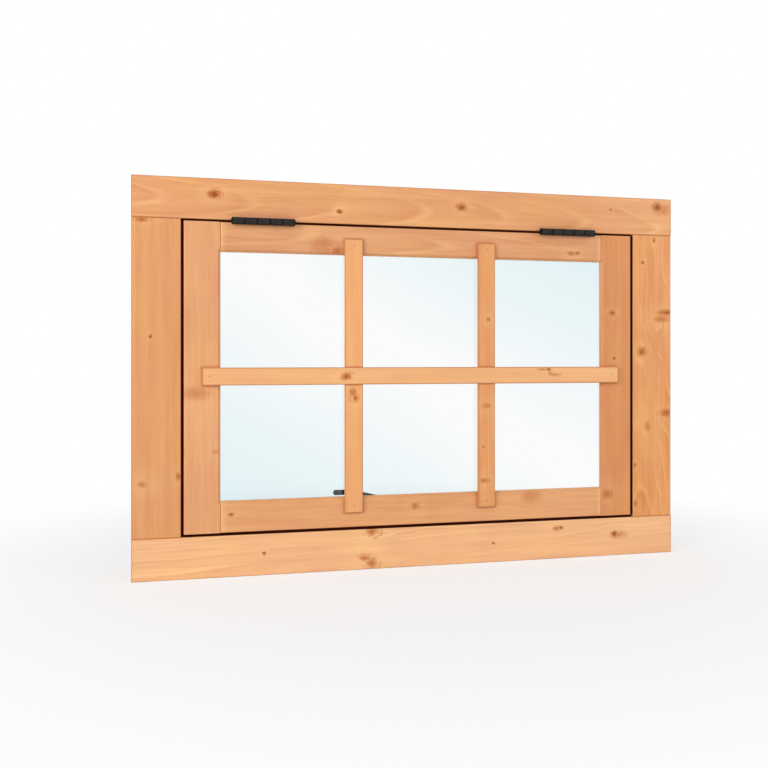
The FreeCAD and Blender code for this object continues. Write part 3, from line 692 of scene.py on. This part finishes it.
class WINDOW_OT_coat_hinges(bpy.types.Operator):
    """Coats both hinges"""

    bl_idname = "window.coat_hinges"
    bl_label = "Coat hinges"

    def execute(self, context):
        low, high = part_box("right_hinge_frame_leaf")
        # The knuckle joints get painted shade, with oil and dust.
        coat = powder_coated_steel(
            "satin_black_coating", context.scene.window_steel.hinge, roughness=0.45,
            knuckles=((low.x + high.x) / 2, (high.x - low.x) / KNUCKLES))
        for side in ("left", "right"):
            for part in ("frame_leaf", "sash_leaf", "pin"):
                dress(f"{side}_hinge_{part}", coat)
        return {"FINISHED"}


class WINDOW_OT_coat_fastener(bpy.types.Operator):
    """Coats the lever fastener"""

    bl_idname = "window.coat_fastener"
    bl_label = "Coat fastener"

    def execute(self, context):
        coat = powder_coated_steel(
            "satin_charcoal_coating", context.scene.window_steel.fastener, roughness=0.4)
        for part in ("plate", "lever", "pivot", "keeper"):
            dress(f"fastener_{part}", coat)
        return {"FINISHED"}


def finish_piece(name, shape, material):
    """Turns a bmesh into a finished piece that rides on the window."""
    bmesh.ops.recalc_face_normals(shape, faces=shape.faces)
    mesh = bpy.data.meshes.new(name)
    shape.to_mesh(mesh)
    shape.free()
    mesh.materials.append(material)
    piece = bpy.data.objects.new(name, mesh)
    bpy.context.collection.objects.link(piece)
    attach(piece, "root")


def new_verts(made):
    """The vertices among what an operator made."""
    return [g for g in made["geom"] if isinstance(g, bmesh.types.BMVert)]


# Closer than this, two points of a shape are one.
MERGE = 0.001 * MM

# A brad head's outline from its crown to its shank's end: share of the radius, and millimetres behind the bar's face.
BRAD_OUTLINE = ((0, -0.05), (0.6, -0.03), (1, 0.1), (1, 0.6), (0, 0.6))
BRAD_SIDES = 16
BRAD_SETBACK = 11 * MM


def brad_head(shape, centre, diameter):
    """A small domed nail head, punched almost flush, looking along -Y."""
    radius = diameter / 2
    points = [shape.verts.new(centre + Vector((r * radius, y * MM, 0))) for r, y in BRAD_OUTLINE]
    edges = [shape.edges.new(pair) for pair in zip(points, points[1:])]
    bmesh.ops.spin(
        shape, geom=points + edges, cent=centre, axis=(0, 1, 0), angle=math.tau, steps=BRAD_SIDES,
        use_merge=True)
    bmesh.ops.remove_doubles(shape, verts=shape.verts, dist=MERGE)


class WINDOW_OT_drive_brads(bpy.types.Operator):
    """Drives one brad into each end of the glazing bars"""

    bl_idname = "window.drive_brads"
    bl_label = "Drive brads"

    def execute(self, context):
        steel = context.scene.window_steel
        shape = bmesh.new()
        for node, axis in (("upright_bar_left", 2), ("upright_bar_right", 2), ("cross_bar", 0)):
            low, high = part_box(node)
            for end in (low[axis] + BRAD_SETBACK, high[axis] - BRAD_SETBACK):
                centre = (low + high) / 2
                centre.y = low.y
                centre[axis] = end
                brad_head(shape, centre, steel.brad_diameter)
        coat = powder_coated_steel("blued_brad_steel", steel.fastener, roughness=0.5)
        finish_piece("bar_brads", shape, coat)
        return {"FINISHED"}


# The seal's section, round at the front: share of its half width, and millimetres behind its front.
SEAL_OUTLINE = ((-1, 8), (-1, 0.5), (-0.8, 0.1), (0, 0), (0.8, 0.1), (1, 0.5), (1, 8))
SEAL_CLEARANCE = 0.05 * MM
HINGE_CLEARANCE = 1 * MM


def seal_run(shape, start, end, gap):
    """A straight length of seal between two points in the middle of a gap."""
    along = (end - start).normalized()
    across = along.cross(Vector((0, 1, 0))) * (gap / 2 - SEAL_CLEARANCE)
    points = [
        shape.verts.new(start + across * side + Vector((0, depth * MM, 0))) for side, depth in SEAL_OUTLINE]
    face = shape.faces.new(points)
    run = bmesh.ops.extrude_face_region(shape, geom=[face], use_keep_orig=True)
    bmesh.ops.translate(shape, verts=new_verts(run), vec=end - start)


class WINDOW_OT_fit_seal(bpy.types.Operator):
    """Fits a near black seal in the gap round the sash, cut away at the hinges, as painted shade in the gap"""

    bl_idname = "window.fit_seal"
    bl_label = "Fit draught seal"

    def execute(self, context):
        steel = context.scene.window_steel
        low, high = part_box("sash_left_stile")
        left, right = low.x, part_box("sash_right_stile")[1].x
        # The seal sits almost flush with the sash's face, so the gap shows dark: painted shade.
        front = low.y + steel.seal_setback
        shape = bmesh.new()
        for x in (left - steel.side_gap / 2, right + steel.side_gap / 2):
            seal_run(shape, Vector((x, front, low.z)), Vector((x, front, high.z)), steel.side_gap)
        z = low.z - steel.bottom_gap / 2
        seal_run(shape, Vector((left, front, z)), Vector((right, front, z)), steel.bottom_gap)
        z = high.z + steel.top_gap / 2
        hinges = [end.x for side in ("left", "right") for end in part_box(f"{side}_hinge_frame_leaf")]
        clear = HINGE_CLEARANCE
        stops = (left, hinges[0] - clear, hinges[1] + clear, hinges[2] - clear, hinges[3] + clear, right)
        for start, end in zip(stops[::2], stops[1::2]):
            seal_run(shape, Vector((start, front, z)), Vector((end, front, z)), steel.top_gap)
        finish_piece("draught_seal", shape, epdm_rubber(steel))
        return {"FINISHED"}


# A screw head's rise, the inset of its crown, and the reach and half width of its cross recess, as shares of its
# diameter. The rounding of its edge and the recess's depth are shares of its rise.
SCREW_SIDES = 32
SCREW_RISE = 0.14
CROWN_INSET = 0.1
RECESS_REACH = 1 / 3
RECESS_HALF = 0.07
EDGE_ROUND = 0.7
RECESS_DEPTH = 0.8


def screw_head(shape, centre, diameter):
    """A low round screw head with a cross recess, looking along +Y."""
    rise = SCREW_RISE * diameter
    half = RECESS_HALF * diameter
    turn = Matrix.Translation(centre) @ Matrix.Rotation(-math.pi / 2, 4, "X")
    made = bmesh.ops.create_circle(
        shape, cap_ends=True, segments=SCREW_SIDES, radius=diameter / 2, matrix=turn)
    disc = list({face for vert in made["verts"] for face in vert.link_faces})
    up = bmesh.ops.extrude_face_region(shape, geom=disc, use_keep_orig=True)
    bmesh.ops.translate(shape, verts=new_verts(up), vec=(0, rise, 0))
    top = next(g for g in up["geom"] if isinstance(g, bmesh.types.BMFace))
    bmesh.ops.bevel(
        shape, geom=list(top.edges), offset=rise * EDGE_ROUND, affect="EDGES", segments=4, profile=0.5,
        material=-1)

    def middle(face):
        """A face's middle, from the head's own."""
        return face.calc_center_median() - centre

    def crown_cells():
        """The level faces that the recess may take."""
        reach = RECESS_REACH * diameter
        return [face for face in shape.faces if face.normal.y > 0.99 and middle(face).length < reach]

    crown = max((face for face in shape.faces if middle(face).length < diameter),
                key=lambda face: (face.calc_center_median().y, face.calc_area()))
    bmesh.ops.inset_individual(shape, faces=[crown], thickness=diameter * CROWN_INSET)
    for axis in (Vector((1, 0, 0)), Vector((0, 0, 1))):
        for side in (-half, half):
            cells = crown_cells()
            edges = list({edge for face in cells for edge in face.edges})
            verts = list({vert for face in cells for vert in face.verts})
            bmesh.ops.bisect_plane(
                shape, geom=cells + edges + verts, plane_co=centre + axis * side, plane_no=axis, dist=MERGE)
    shape.normal_update()
    cross = [face for face in crown_cells() if min(abs(middle(face).x), abs(middle(face).z)) < half]
    sunk = bmesh.ops.extrude_face_region(shape, geom=cross)
    bmesh.ops.translate(shape, verts=new_verts(sunk), vec=(0, -rise * RECESS_DEPTH, 0))
    bmesh.ops.delete(shape, geom=cross, context="FACES_ONLY")


# What is screwed on: the piece, the setting for its screws' heads, how far in from its ends they sit, and how thick it
# is there.
SCREWED = (
    ("fastener_plate", "plate_screw", 9 * MM, 3 * MM),
    ("fastener_keeper", "keeper_screw", 7 * MM, 1.5 * MM),
)


class WINDOW_OT_fit_screws(bpy.types.Operator):
    """Fits the fastener plate's and the keeper's screws"""

    bl_idname = "window.fit_screws"
    bl_label = "Fit screws"

    def execute(self, context):
        steel = context.scene.window_steel
        plating = zinc_plated_steel(steel)
        for node, setting, inset, thickness in SCREWED:
            low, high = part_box(node)
            shape = bmesh.new()
            for x in (low.x + inset, high.x - inset):
                centre = Vector((x, low.y + thickness, (low.z + high.z) / 2))
                screw_head(shape, centre, getattr(steel, setting))
            finish_piece(f"{node}_screws", shape, plating)
        return {"FINISHED"}


# The stage, in metres: what the lamps look at, where they stand and how wide they are, half the floor's side, and how
# far from the window the floor fades from its shadow to plain white.
LAMP_TARGET = Vector((0, 0, 0.31))
KEY_PLACE, KEY_SIZE = Vector((-2.9, -2.1, 1.2)), 1.5
FILL_PLACE, FILL_SIZE = Vector((2.4, -1.6, 1.2)), 1.6
FLOOR_HALF = 30.0
SHADOW_END, WHITE_START = 0.35, 1.1
SENSOR_WIDTH = 36.0


def seen_rays(tree):
    """1 for what the camera sees straight, mirrored or through glass, and 0 for light that falls on the window."""
    path = add(tree, "ShaderNodeLightPath").outputs
    seen = path["Is Camera Ray"]
    for kind in ("Is Glossy Ray", "Is Transmission Ray"):
        seen = add(tree, "ShaderNodeMath", {0: seen, 1: path[kind]}, operation="MAXIMUM")
    return seen


def matt_white_paper(look):
    """Matt white studio paper: it takes the window's soft shadow and turns to plain white further out."""
    material, tree, shader = new_material("matt_white_paper")
    shader.inputs["Base Color"].default_value = opaque(look.floor)
    shader.inputs["Roughness"].default_value = 0.9
    place = add(tree, "ShaderNodeTexCoord").outputs["Object"]
    distance = add(tree, "ShaderNodeVectorMath", {0: place}, operation="LENGTH").outputs["Value"]
    open_floor = add(tree, "ShaderNodeMapRange", {
        "Value": distance, "From Min": SHADOW_END, "From Max": WHITE_START, "To Min": 0.6},
        interpolation_type="SMOOTHSTEP")
    lit = add(tree, "ShaderNodeMath", {0: open_floor, 1: seen_rays(tree)}, operation="MULTIPLY")
    white = add(tree, "ShaderNodeEmission", {"Color": opaque(WHITE), "Strength": 1.0})
    surface = add(tree, "ShaderNodeMixShader", {0: lit, 1: shader, 2: white})
    tree.links.new(surface.outputs[0], tree.nodes["Material Output"].inputs["Surface"])
    return material


def lay_floor(look):
    """The plain floor under the window."""
    shape = bmesh.new()
    bmesh.ops.create_grid(shape, x_segments=1, y_segments=1, size=FLOOR_HALF)
    mesh = bpy.data.meshes.new("studio_floor")
    shape.to_mesh(mesh)
    shape.free()
    mesh.materials.append(matt_white_paper(look))
    floor = bpy.data.objects.new("studio_floor", mesh)
    bpy.context.collection.objects.link(floor)


def white_studio(look):
    """A world that lights the window evenly and is plain white to look at."""
    world = bpy.data.worlds.new("white_studio")
    world.use_nodes = True
    tree = world.node_tree
    level = add(tree, "ShaderNodeMapRange", {"Value": seen_rays(tree), "To Min": look.ambient, "To Max": 1.0})
    background = tree.nodes["Background"]
    background.inputs["Color"].default_value = opaque(WHITE)
    tree.links.new(level.outputs[0], background.inputs["Strength"])
    return world


def area_lamp(name, place, size, power):
    """A soft square lamp that looks at the window's middle."""
    lamp = bpy.data.lights.new(name, "AREA")
    lamp.shape = "SQUARE"
    lamp.size = size
    lamp.energy = power
    holder = bpy.data.objects.new(name, lamp)
    holder.location = place
    holder.rotation_euler = (LAMP_TARGET - place).to_track_quat("-Z", "Y").to_euler()
    bpy.context.collection.objects.link(holder)


def photo_camera(look):
    """A level camera at the photograph's viewing angle."""
    camera = bpy.data.cameras.new("photo_camera")
    camera.lens = look.lens
    camera.sensor_width = SENSOR_WIDTH
    camera.shift_y = look.rise
    holder = bpy.data.objects.new("photo_camera", camera)
    holder.location = look.camera_place
    holder.rotation_euler = (math.pi / 2, 0, -look.camera_turn)
    bpy.context.collection.objects.link(holder)
    return holder


class WINDOW_OT_set_stage(bpy.types.Operator):
    """Lays the floor and sets the light and the camera"""

    bl_idname = "window.set_stage"
    bl_label = "Set stage"

    def execute(self, context):
        scene = context.scene
        look = scene.window_stage
        scene.view_settings.view_transform = "Standard"
        lay_floor(look)
        scene.world = white_studio(look)
        area_lamp("key_lamp", KEY_PLACE, KEY_SIZE, look.key)
        area_lamp("fill_lamp", FILL_PLACE, FILL_SIZE, look.fill)
        scene.camera = photo_camera(look)
        return {"FINISHED"}


OPERATORS = (
    WINDOW_OT_stain_timber,
    WINDOW_OT_glaze,
    WINDOW_OT_coat_hinges,
    WINDOW_OT_coat_fastener,
    WINDOW_OT_fit_seal,
    WINDOW_OT_drive_brads,
    WINDOW_OT_fit_screws,
    WINDOW_OT_set_stage,
)
SETTINGS = {
    "window_timber": TimberSettings,
    "window_glass": GlassSettings,
    "window_steel": SteelSettings,
    "window_stage": StageSettings,
}


class WINDOW_PT_finish(bpy.types.Panel):
    """Lists the steps in the 3D view's sidebar"""

    bl_idname = "WINDOW_PT_finish"
    bl_label = "Top hung window"
    bl_space_type = "VIEW_3D"
    bl_region_type = "UI"
    bl_category = "Window"

    def draw(self, context):
        for operator in OPERATORS:
            self.layout.operator(operator.bl_idname)
        for name, group in SETTINGS.items():
            box = self.layout.box()
            settings = getattr(context.scene, name)
            for setting in group.__annotations__:
                box.prop(settings, setting)


CLASSES = (*SETTINGS.values(), *OPERATORS, WINDOW_PT_finish)


def register():
    for cls in CLASSES:
        bpy.utils.register_class(cls)
    for name, group in SETTINGS.items():
        setattr(bpy.types.Scene, name, PointerProperty(type=group))


def unregister():
    for name in SETTINGS:
        delattr(bpy.types.Scene, name)
    for cls in reversed(CLASSES):
        bpy.utils.unregister_class(cls)


def main():
    register()
    bpy.ops.window.stain_timber()
    bpy.ops.window.glaze()
    bpy.ops.window.coat_hinges()
    bpy.ops.window.coat_fastener()
    bpy.ops.window.fit_seal()
    bpy.ops.window.drive_brads()
    bpy.ops.window.fit_screws()
    bpy.ops.window.set_stage()


if __name__ == "__main__":
    main()
